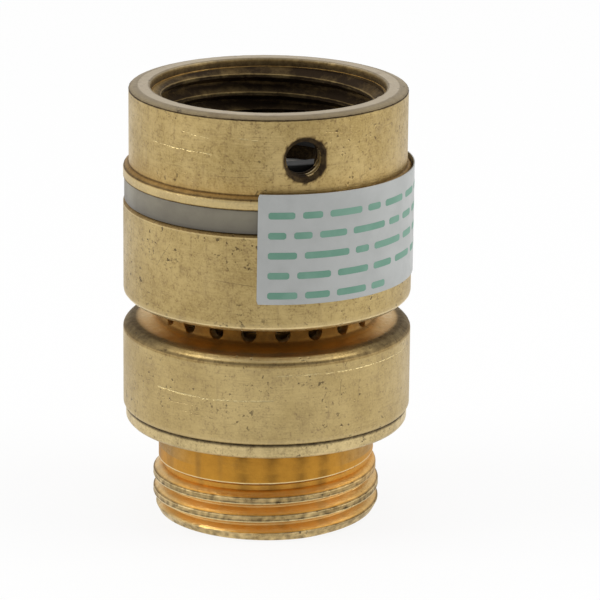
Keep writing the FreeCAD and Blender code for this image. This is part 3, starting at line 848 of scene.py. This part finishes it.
class BREAKER_OT_main_body(bpy.types.Operator):
    """Turn the main body with its bands, waist groove and vent ports"""

    bl_idname = "breaker.main_body"
    bl_label = "Main body"

    def execute(self, context):
        waist_low = BODY_LOW + 10.3
        waist_high = waist_low + 3.2
        middle = (waist_low + waist_high) / 2
        floor = waist_low + 0.7
        web = floor - 3.0
        socket = BODY_HIGH - 7.15
        tail_r = 13.2
        socket_r = 14.6
        chamber_r = 11.4
        seat_out, seat_in = 9.05, 8.25
        web_r = 7.5
        rows = rows_of([
            (tail_r, web, 0, 0, 0.3),
            (tail_r, BODY_LOW, 0.05, 0, 0.3),
            (BAND_R - 0.3, BODY_LOW, 0.03, -1.0, 0),
            (BAND_R, BODY_LOW + 0.3, 0.12, 0.3, 0),
            (BAND_R, BODY_LOW + 0.8, 0, 0.12, 0),
            (BAND_R, waist_low - 1.0, 0, 0.12, 0),
            # Painted shade: the lower band's up-facing chamfer is darkened.
            (BAND_R, waist_low - 0.75, 0.05, -0.3, 0.1),
            (BAND_R - 0.08, waist_low - 0.5, 0.08, -0.65, 0.1),
            (BAND_R - 0.35, waist_low - 0.16, 0.15, 0.1, 0),
            (BAND_R - 0.8, waist_low + 0.2, 0.2, 0.4, 0.2),
            (BAND_R - 1.4, waist_low + 0.3, 0, 0, 0.9),
            (WAIST_R + 1.7, waist_low + 0.32, 0, 0, 1),
            (WAIST_R + 0.75, waist_low + 0.5, 0.3, 0, 1),
            (WAIST_R, middle - 0.75, 0.3, 0, 1),
            (WAIST_R, middle + 0.75, 0.3, 0, 1),
            (WAIST_R + 0.75, waist_high - 0.35, 0.3, 0, 1),
            (WAIST_R + 1.7, waist_high, 0, 0, 1),
            (MID_BAND_R - 1.0, waist_high, 0, 0, 0.8),
            # Painted highlight: the middle band's lower rounded edge is brightened.
            (MID_BAND_R - 0.5, waist_high + 0.08, 0.1, 1, 0),
            (MID_BAND_R - 0.08, waist_high + 0.5, 0.12, 0.8, 0),
            (MID_BAND_R, waist_high + 0.8, 0.1, 0.2, 0),
            (MID_BAND_R, waist_high + 1.2, 0, 0, 0),
            (MID_BAND_R, BODY_HIGH - 0.62, 0, 0, 0),
            (MID_BAND_R, BODY_HIGH - 0.42, 0, 0.4, 0),
            # Painted shade: the middle band's up-facing top chamfer is darkened.
            (MID_BAND_R, BODY_HIGH - 0.34, 0.03, -0.5, 0.2),
            (MID_BAND_R - 0.46, BODY_HIGH, 0.08, -0.6, 0.4),
            (socket_r, BODY_HIGH, 0, 0, 0.3),
            (socket_r, socket, 0, 0, 0.3),
            (chamber_r, socket, 0.05, 0, 0.3),
            (chamber_r, floor, 0, 0, 0.3),
            (seat_out, floor, 0, 0, 0.3),
            (seat_out, floor + 0.5, 0.06, 0.3, 0.3),
            (seat_in, floor + 0.5, 0.06, 0.3, 0.3),
            (seat_in, floor, 0, 0, 0.3),
            (web_r, floor, 0.05, 0, 0.3),
            (web_r, web, 0.05, 0, 0.3),
        ])
        piece = turned("main_body_turned", rows, roughen=0.03, seed=11)
        cut(piece, self.port_cutters(middle + 0.1))

        # Painted light and shade in the waist: the sides, seen at a grazing angle, are lightened as a
        # painted highlight; the front, the back and the floor near the ports are darkened as painted shade;
        # the lower band's rounded edge is dulled at the sides; and the groove tone is laid on thickest deep
        # inside and towards the front, as painted reflection.
        def waist_light_and_shade(co):
            r = math.hypot(co.x, co.y)
            if not 11.45 < r < BAND_R - 0.12 or not waist_low - 0.42 < co.z < waist_high + 0.1:
                return None
            front = smooth(abs(co.y) / r * 1.6 - 0.6)
            edge = smooth((r - BAND_R + 2.2) / 0.9) if co.z < middle else 0.0
            if r > BAND_R - 0.85 and co.z > middle:
                return None
            deep = smooth((BAND_R - 0.9 - r) / 1.5)
            # Painted light: the port walls are lightened, so that the holes read softer.
            if r < WAIST_R - 0.05:
                return (0.5, 1)
            floor_near = smooth((WAIST_R + 1.3 - r) / 1.1)
            wear_and_painted_light = (1 - front) * (1 - 0.35 * deep) - 0.22 * front * deep
            wear_and_painted_light += (-0.42 - 0.2 * front - wear_and_painted_light) * floor_near
            wear_and_painted_light += (1.15 * front ** 3 - 0.75 - wear_and_painted_light) * edge
            return (wear_and_painted_light, (0.3 + 0.7 * deep * (0.4 + 0.6 * front)) * (1 - 0.8 * edge))

        shade(piece, waist_light_and_shade)
        dress(piece, material("body brass"), "housing", "main_body")
        return {"FINISHED"}

    def port_cutters(self, height):
        """Twenty short drills round the waist, in one mesh."""
        bm = bmesh.new()
        sections = ((10.4, PORT_R), (WAIST_R - 0.12, PORT_R), (WAIST_R + 0.3, PORT_R + 0.08))
        for port in range(PORT_COUNT):
            azimuth = math.radians(FIRST_PORT_DEG + 360.0 * port / PORT_COUNT)
            out = outward_at(azimuth)
            across = sideways_at(azimuth)
            rise = Vector((0, 0, height))
            skin(bm, [ring_at(bm, out * along + rise, across, r, 28) for along, r in sections])
        bmesh.ops.recalc_face_normals(bm, faces=bm.faces)
        return finished("port_cutters", bm)


class BREAKER_OT_outlet_nipple(bpy.types.Operator):
    """Turn the outlet nipple with its male hose thread"""

    bl_idname = "breaker.outlet_nipple"
    bl_label = "Outlet nipple"

    def execute(self, context):
        flange = BODY_LOW - 1.7
        neck_edge = 6.9
        thread_high = 8.05
        tail_r = 13.1
        groove_r = 11.75
        bore_r = 9.8
        mouth_r = 8.4
        step = 6.5
        pitch = settings().thread_pitch / MM
        # Painted reflection: the groove flanks are brightened and given the groove tone, for light bounced
        # between them.
        form = [
            (-0.5, 0.0, 0.5, 0.8), (-0.44, 0.04, 0.5, 0.8), (-0.33, 0.6, 0.3, 0.9), (-0.25, 0.9, -0.3, 0.6),
            (-0.21, 0.97, 0.4, 0), (-0.17, 1.0, 0.4, 0), (-0.14, 0.985, -0.7, 0.1), (-0.1, 0.97, -0.5, 0.1),
            (-0.05, 0.985, -0.35, 0.15), (0.06, 1.0, -0.35, 0.15), (0.1, 0.99, 0.05, 0),
            (0.13, 0.96, -0.7, 0.2), (0.17, 0.88, -0.3, 0.8), (0.22, 0.76, 0.3, 0.8), (0.33, 0.5, 0.5, 0.8),
            (0.42, 0.1, 0.5, 0.8), (0.46, 0.02, 0.5, 0.8), (0.5, 0.0, 0.5, 0.8),
        ]

        def shoulder(drop):
            return max(THREAD_ROOT_R, NECK_R - drop * pitch * 2.2)

        def mottle(angle, z):
            return 0.5 * drift(angle, 22, z * 2)

        # Painted shade: towards the left and right sides the neck and the thread's flanks are darkened and
        # less orange.
        def side_shade(angle):
            return smooth(abs(math.sin(angle)) * 2.6 - 1.5)

        def marks(angle, strength=0.22):
            """Soft dark streaks down the neck."""
            wear_and_painted_light = -0.32
            for place in (-11.4, 3.8, 19.3, 32.5, 95.0, 130.0, 205.0, 260.0):
                away = (math.degrees(angle) - 180 - place + 180) % 360 - 180
                wear_and_painted_light -= strength * math.exp(-(away / 3.4) ** 2)
            return wear_and_painted_light

        def male(angle, z, height, wear_and_painted_light, gold):
            """The thread starts below a helical edge of the neck, and its top turn fades out at the back."""
            r = THREAD_ROOT_R + (THREAD_MAJOR_R - THREAD_ROOT_R) * height
            below = (neck_edge - z) / pitch + angle / (2 * math.pi) - 0.5
            fade = smooth((angle / math.pi - 1.1) / 0.8)
            line = 1 - fade if abs(below) < 0.05 else 0.0
            if below <= 0:
                return (NECK_R, z, marks(angle) + (0.9 - marks(angle)) * line, 1 - line)
            if height > 0.95:
                wear_and_painted_light += mottle(angle, z)
            else:
                wear_and_painted_light -= 0.3 * side_shade(angle)
                gold *= 1 - 0.5 * side_shade(angle)
            if below < 0.4:
                r = min(r, shoulder(below))
                wear_and_painted_light = 0.1 + marks(angle) + 0.7 * line
                gold = 0.9 * (1 - line)
            if below < 1:
                r += (NECK_R - r) * fade
                gold += (1 - gold) * fade
                wear_and_painted_light += (marks(angle) - wear_and_painted_light) * fade
            elif below < 1.4:
                r += (min(r, shoulder(below - 1)) - r) * fade
            chamfer = THREAD_MAJOR_R - 0.65 + 0.65 * z / 1.3
            if z < 0.95:
                wear_and_painted_light, gold = mottle(angle, z + 5) - 0.2, 0.1
            return (min(r, chamfer), z, wear_and_painted_light, gold)

        bottom = rows_of([
            (mouth_r, 0.45, 0, 0, 0.4),
            (8.8, 0.0, 0.06, 0.2, 0.2),
            (THREAD_MAJOR_R - 1.0, 0.0, 0, 0, 0),
        ])
        front_crest = 5.1
        thread = helix_rows(form, pitch, 0.0, thread_high, front_crest, male)
        neck = [
            lambda angle, z=z, strength=strength: (
                NECK_R, z, marks(angle, strength) - 0.1 * side_shade(angle), 1 - 0.4 * side_shade(angle)
            )
            for z, strength in (
                (thread_high + 0.1, 0.12), (thread_high + 0.6, 0.12), (flange - 1.8, 0.2),
                (flange - 0.9, 0.4), (flange - 0.45, 0.45),
            )
        ]
        above = rows_of([
            (NECK_R, flange - 0.4, 0, -0.2, 1),
            (NECK_R + 0.4, flange, 0.2, -0.3, 1),
            (FLANGE_R - 0.3, flange, 0.12, -0.2, 0.2),
            (FLANGE_R, flange + 0.35, 0.15, 0.1, 0),
            (FLANGE_R, BODY_LOW - 0.4, 0, 0.1, 0),
            (FLANGE_R, BODY_LOW - 0.16, 0, -0.75, 0),
            (FLANGE_R, BODY_LOW - 0.03, 0.02, -0.85, 0),
            (tail_r, BODY_LOW, 0, 0, 0.3),
            *seal_groove(tail_r, groove_r, BODY_LOW + 2.9),
            (tail_r, NIPPLE_TOP, 0, 0, 0.3),
            (bore_r, NIPPLE_TOP, 0, 0, 0.3),
            (bore_r, step, 0, 0, 0.3),
            (mouth_r, step, 0.08, 0, 0.3),
        ])
        piece = turned("outlet_nipple_turned", bottom + thread + neck + above, roughen=0.03, seed=23)
        dress(piece, material("nipple brass"), "housing", "outlet_nipple")
        return {"FINISHED"}


class BREAKER_OT_joint_ring(bpy.types.Operator):
    """Turn the smooth grey ring and the rubber washer"""

    bl_idname = "breaker.joint_ring"
    bl_label = "Joint ring and washer"

    def execute(self, context):
        ring_bore = 14.7
        # Painted shade: the ring darkens towards its lower edge.
        ring = turned("joint_ring_moulded", rows_of([
            (ring_bore, RING_LOW, 0, 0, 0), (RING_R, RING_LOW, 0.16, -0.9, 0),
            (RING_R, RING_LOW + 0.5, 0, -0.5, 0), (RING_R, RING_LOW + 1.2, 0, -0.22, 0),
            (RING_R, RING_LOW + 2.0, 0, 0, 0),
            (RING_R, RING_HIGH, 0.16, 0, 0), (ring_bore, RING_HIGH, 0, 0, 0),
        ]))
        dress(ring, material("grey plastic"), "housing", "joint_ring")
        top = WASHER_HIGH - 0.45
        inner_r, outer_r = 8.0, 12.45
        washer = turned("inlet_washer_moulded", rows_of([
            (inner_r, WASHER_LOW, 0.35, 0, 0), (outer_r, WASHER_LOW, 0.35, 0, 0),
            (outer_r, top, 0.3, 0, 0), (10.3, top, 0.3, 0, 0),
            (inner_r, top - 0.8, 0.35, 0, 0),
        ]), roughen=0.02)
        dress(washer, material("black rubber"), "housing", "inlet_washer")
        return {"FINISHED"}


LABEL_START = -3.3
LABEL_SPAN = 134.0
LABEL_TILT = math.radians(0.5)
LABEL_MIDDLE = (LABEL_LOW + LABEL_HIGH) / 2
LABEL_R = 17.012
FILM = 0.12


def label_radius(azimuth, z):
    """The film's inner radius: it hugs the bands and lifts a little at its free edges."""
    lift = 0.03 * noise.noise(Vector((azimuth * 4, z * 0.25, 2.0)))
    top = max(z - 42.2, 0.0) * 0.03
    return LABEL_R + max(lift, 0.0) + top


def film_patch(bm, start, end, low, high, base, thickness, columns, rows, corner):
    """A thin curved patch with rounded corners, between two azimuths in degrees and two heights."""
    layers = []
    for depth in (0.0, thickness):
        grid = []
        for row in range(rows + 1):
            v = row / rows
            z = low + (high - low) * v
            edge = min(v, 1 - v) * (high - low)
            inset = 0.0
            if edge < corner:
                inset = corner - math.sqrt(max(corner ** 2 - (corner - edge) ** 2, 0.0))
            inset_deg = math.degrees(inset / base)
            line = []
            for column in range(columns + 1):
                a = start + inset_deg + (end - start - 2 * inset_deg) * column / columns
                azimuth = math.radians(a)
                r = label_radius(azimuth, z) + (base - LABEL_R) + depth
                dip = LABEL_TILT * (azimuth - math.radians(LABEL_START)) * LABEL_R
                azimuth += LABEL_TILT * (z - LABEL_MIDDLE) / LABEL_R
                line.append(bm.verts.new((outward_at(azimuth) * r + Vector((0, 0, z - dip))) * MM))
            grid.append(line)
        layers.append(grid)
    inner, outer = layers
    for row in range(rows):
        for column in range(columns):
            bm.faces.new((outer[row][column], outer[row][column + 1],
                          outer[row + 1][column + 1], outer[row + 1][column]))
            bm.faces.new((inner[row][column], inner[row + 1][column],
                          inner[row + 1][column + 1], inner[row][column + 1]))
        for column, flip in ((0, False), (columns, True)):
            face = (inner[row][column], outer[row][column], outer[row + 1][column], inner[row + 1][column])
            bm.faces.new(face[::-1] if flip else face)
    for column in range(columns):
        for row, flip in ((0, True), (rows, False)):
            face = (inner[row][column], outer[row][column], outer[row][column + 1], inner[row][column + 1])
            bm.faces.new(face[::-1] if flip else face)


class BREAKER_OT_label(bpy.types.Operator):
    """Wrap the bare film label and its plain printed bars round the bands"""

    bl_idname = "breaker.label"
    bl_label = "Label"

    def execute(self, context):
        bm = bmesh.new()
        film_patch(bm, LABEL_START, LABEL_START + LABEL_SPAN, LABEL_LOW, LABEL_HIGH, LABEL_R, FILM,
                   columns=160, rows=30, corner=0.15)
        bmesh.ops.recalc_face_normals(bm, faces=bm.faces)
        film = finished("label_film", bm)
        dress(film, material("label film"), "housing", "blank_label")
        bars = bmesh.new()
        draws = random.Random(7)
        line_pitch = 2.35
        bar_h = 0.8
        top = LABEL_HIGH - 2.05
        for line in range(5):
            z = top - line * line_pitch
            azimuth = LABEL_START + 4.0
            last = LABEL_START + LABEL_SPAN - (6.0 if line < 4 else 78.0)
            while azimuth < last - 4:
                width = draws.uniform(6.0, 19.0)
                end = min(azimuth + width, last)
                film_patch(bars, azimuth, end, z - bar_h, z, LABEL_R + FILM + 0.004, 0.006,
                           max(4, int((end - azimuth) / 1.2)), 6, 0.25)
                azimuth = end + 3.0
        bmesh.ops.recalc_face_normals(bars, faces=bars.faces)
        ink = finished("label_bars", bars)
        dress(ink, material("label ink"), "housing")
        return {"FINISHED"}


class BREAKER_OT_springs(bpy.types.Operator):
    """Wind the four round-wire springs"""

    bl_idname = "breaker.springs"
    bl_label = "Springs"

    def execute(self, context):
        for node, body, joint, wire_d, turns, fixed_low in (
            ("vent_spring", "housing", "vent_piston_slide", 0.8, 5.5, True),
            ("first_check_spring", "vent_piston", "first_check_slide", 0.42, 4.5, True),
            ("second_check_spring", "drain_plunger", "second_check_slide", 0.48, 5.0, True),
            ("plunger_spring", "housing", "drain_plunger_slide", 0.7, 5.5, False),
        ):
            low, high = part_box(node)
            outer = max(high.x, -low.x) / MM
            coil = self.coil(node + "_wound", outer - wire_d / 2, wire_d, low.z / MM, high.z / MM, turns)
            dress(coil, material("spring wire"), body, node)
            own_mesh(coil)
        return {"FINISHED"}

    def coil(self, name, mean_r, wire_d, low, high, turns):
        """A compression spring with closed end coils."""
        bm = bmesh.new()
        half = wire_d / 2
        steps = int(turns * 48)
        dead = 0.9
        packed = 0.9 * wire_d
        span = high - low - wire_d - 2 * packed
        rings = []
        for step in range(steps + 1):
            turn = turns * step / steps
            rise = min(max((turn - dead) / (turns - 2 * dead), 0.0), 1.0)
            closed = min(turn, dead) / dead + max(turn - (turns - dead), 0.0) / dead
            centre_z = low + half + span * rise + packed * closed
            out = sideways_at(2 * math.pi * turn)
            centre = out * mean_r + Vector((0, 0, centre_z))
            rings.append(ring_at(bm, centre, out, half, settings().coil_sides))
        skin(bm, rings)
        bmesh.ops.recalc_face_normals(bm, faces=bm.faces)
        return finished(name, bm)


class BREAKER_OT_valve_parts(bpy.types.Operator):
    """Give the plastic and rubber valve parts inside their finishes"""

    bl_idname = "breaker.valve_parts"
    bl_label = "Valve parts"

    def execute(self, context):
        finishes = {
            "white plastic": (
                "vent_piston", "first_check_poppet", "first_check_guide",
                "second_check_seat", "second_check_poppet", "drain_plunger",
            ),
            "black rubber": (
                "collar_seal", "nipple_seal", "piston_seal", "vent_face_seal",
                "first_check_seal", "second_check_seal",
            ),
        }
        for finish, names in finishes.items():
            for name in names:
                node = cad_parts[name]
                for slot in node.material_slots:
                    slot.material = material(finish)
        return {"FINISHED"}


class BREAKER_OT_stage(bpy.types.Operator):
    """Set the floor, world, lamps and camera"""

    bl_idname = "breaker.stage"
    bl_label = "Stage"

    def execute(self, context):
        scene = context.scene
        scene.view_settings.view_transform = "Standard"
        self.floor()
        self.world(scene)
        self.lamps()
        self.camera(scene)
        return {"FINISHED"}

    def floor(self):
        bm = bmesh.new()
        bmesh.ops.create_grid(bm, x_segments=2, y_segments=2, size=1.5)
        floor = finished("floor", bm)
        floor.location.z = -0.0001
        material, tree, shader = principled("floor paper")
        shader.inputs["Base Color"].default_value = (0.9, 0.9, 0.9, 1)
        shader.inputs["Roughness"].default_value = 0.9
        path = tree.nodes.new("ShaderNodeLightPath")
        glow = tree.nodes.new("ShaderNodeEmission")
        glow.inputs["Strength"].default_value = 1.0
        mix = tree.nodes.new("ShaderNodeMixShader")
        output = tree.nodes["Material Output"]
        seen = math_node(tree, "MAXIMUM", path.outputs["Is Camera Ray"], path.outputs["Is Glossy Ray"])
        seen = math_node(tree, "MAXIMUM", seen, path.outputs["Is Transmission Ray"])
        tree.links.new(times(tree, seen, 0.86), mix.inputs[0])
        # Painted reflection: glossy rays see the floor glow dimmer in a soft patch in front of the object
        # and to its right, so the brass reflects a dark floor there; the camera sees the floor pale.
        coords = tree.nodes.new("ShaderNodeTexCoord")
        away = tree.nodes.new("ShaderNodeVectorMath")
        away.operation = "DISTANCE"
        away.inputs[1].default_value = (0.07, -0.22, 0)
        tree.links.new(coords.outputs["Object"], away.inputs[0])
        shaded = ramped(tree, away.outputs["Value"], 0.03, 0.17, 0.62, 1.0)
        level = math_node(tree, "MAXIMUM", shaded, path.outputs["Is Camera Ray"])
        tree.links.new(level, glow.inputs["Strength"])
        tree.links.new(shader.outputs[0], mix.inputs[1])
        tree.links.new(glow.outputs[0], mix.inputs[2])
        tree.links.new(mix.outputs[0], output.inputs["Surface"])
        floor.data.materials.append(material)

    def world(self, scene):
        world = bpy.data.worlds.new("studio")
        scene.world = world
        world.use_nodes = True
        tree = world.node_tree
        background = tree.nodes["Background"]
        path = tree.nodes.new("ShaderNodeLightPath")
        coords = tree.nodes.new("ShaderNodeTexCoord")
        parts = tree.nodes.new("ShaderNodeSeparateXYZ")
        tree.links.new(coords.outputs["Generated"], parts.inputs[0])
        ahead = ramped(tree, parts.outputs["Y"], -0.95, 0.1, 0.5, 1.0)
        high = ramped(tree, parts.outputs["Z"], 0.1, 0.95, 1.0, 0.75)
        room = times(tree, ahead, high)
        gray = tree.nodes.new("ShaderNodeCombineColor")
        for channel in range(3):
            tree.links.new(room, gray.inputs[channel])
        tree.links.new(mixed(tree, path.outputs["Is Camera Ray"], gray.outputs[0], (1, 1, 1, 1)),
                       background.inputs["Color"])
        background.inputs["Strength"].default_value = 1.0

    def lamps(self):
        for name, place, size, power in (
            ("left_lamp", (-0.7, -0.15, 0.5), 0.5, 3.0),
            ("right_lamp", (0.75, -0.1, 0.45), 0.5, 3.0),
        ):
            light = bpy.data.lights.new(name, "AREA")
            light.size = size
            light.energy = power
            lamp = bpy.data.objects.new(name, light)
            lamp.location = place
            aim = Vector((0, 0, 0.025)) - Vector(place)
            lamp.rotation_euler = aim.to_track_quat("-Z", "Y").to_euler()
            bpy.context.scene.collection.objects.link(lamp)

    def camera(self, scene):
        data = bpy.data.cameras.new("camera")
        data.sensor_width = 36.0
        data.lens = 225.34
        camera = bpy.data.objects.new("camera", data)
        elevation = math.radians(16.533)
        distance = 0.4439
        aim = Vector((0.003896, 0.0, 0.02553))
        camera.location = aim + Vector((0, -math.cos(elevation), math.sin(elevation))) * distance
        look = (aim - camera.location).to_track_quat("-Z", "Y")
        roll = Quaternion((0, 0, 1), math.radians(0.6))
        camera.rotation_euler = (look @ roll).to_euler()
        scene.collection.objects.link(camera)
        scene.camera = camera


class BREAKER_PT_panel(bpy.types.Panel):
    """Lists the pieces of the vacuum breaker"""

    bl_idname = "BREAKER_PT_panel"
    bl_label = "Vacuum Breaker"
    bl_space_type = "VIEW_3D"
    bl_region_type = "UI"
    bl_category = "Vacuum Breaker"

    def draw(self, context):
        layout = self.layout
        for label in BreakerSettings.__annotations__:
            layout.prop(settings(), label)
        for operator in OPERATORS:
            layout.operator(operator.bl_idname)


OPERATORS = (
    BREAKER_OT_finishes,
    BREAKER_OT_stage,
    BREAKER_OT_inlet_collar,
    BREAKER_OT_main_body,
    BREAKER_OT_outlet_nipple,
    BREAKER_OT_joint_ring,
    BREAKER_OT_label,
    BREAKER_OT_springs,
    BREAKER_OT_valve_parts,
)
CLASSES = (BreakerSettings, *OPERATORS, BREAKER_PT_panel)


def register():
    for item in CLASSES:
        bpy.utils.register_class(item)
    bpy.types.Scene.vacuum_breaker = PointerProperty(type=BreakerSettings)


def unregister():
    del bpy.types.Scene.vacuum_breaker
    for item in reversed(CLASSES):
        bpy.utils.unregister_class(item)


def main():
    register()
    for operator in OPERATORS:
        group, name = operator.bl_idname.split(".")
        result = getattr(getattr(bpy.ops, group), name)()
        if result != {"FINISHED"}:
            raise RuntimeError(f"{operator.bl_label} did not finish")


if __name__ == "__main__":
    main()
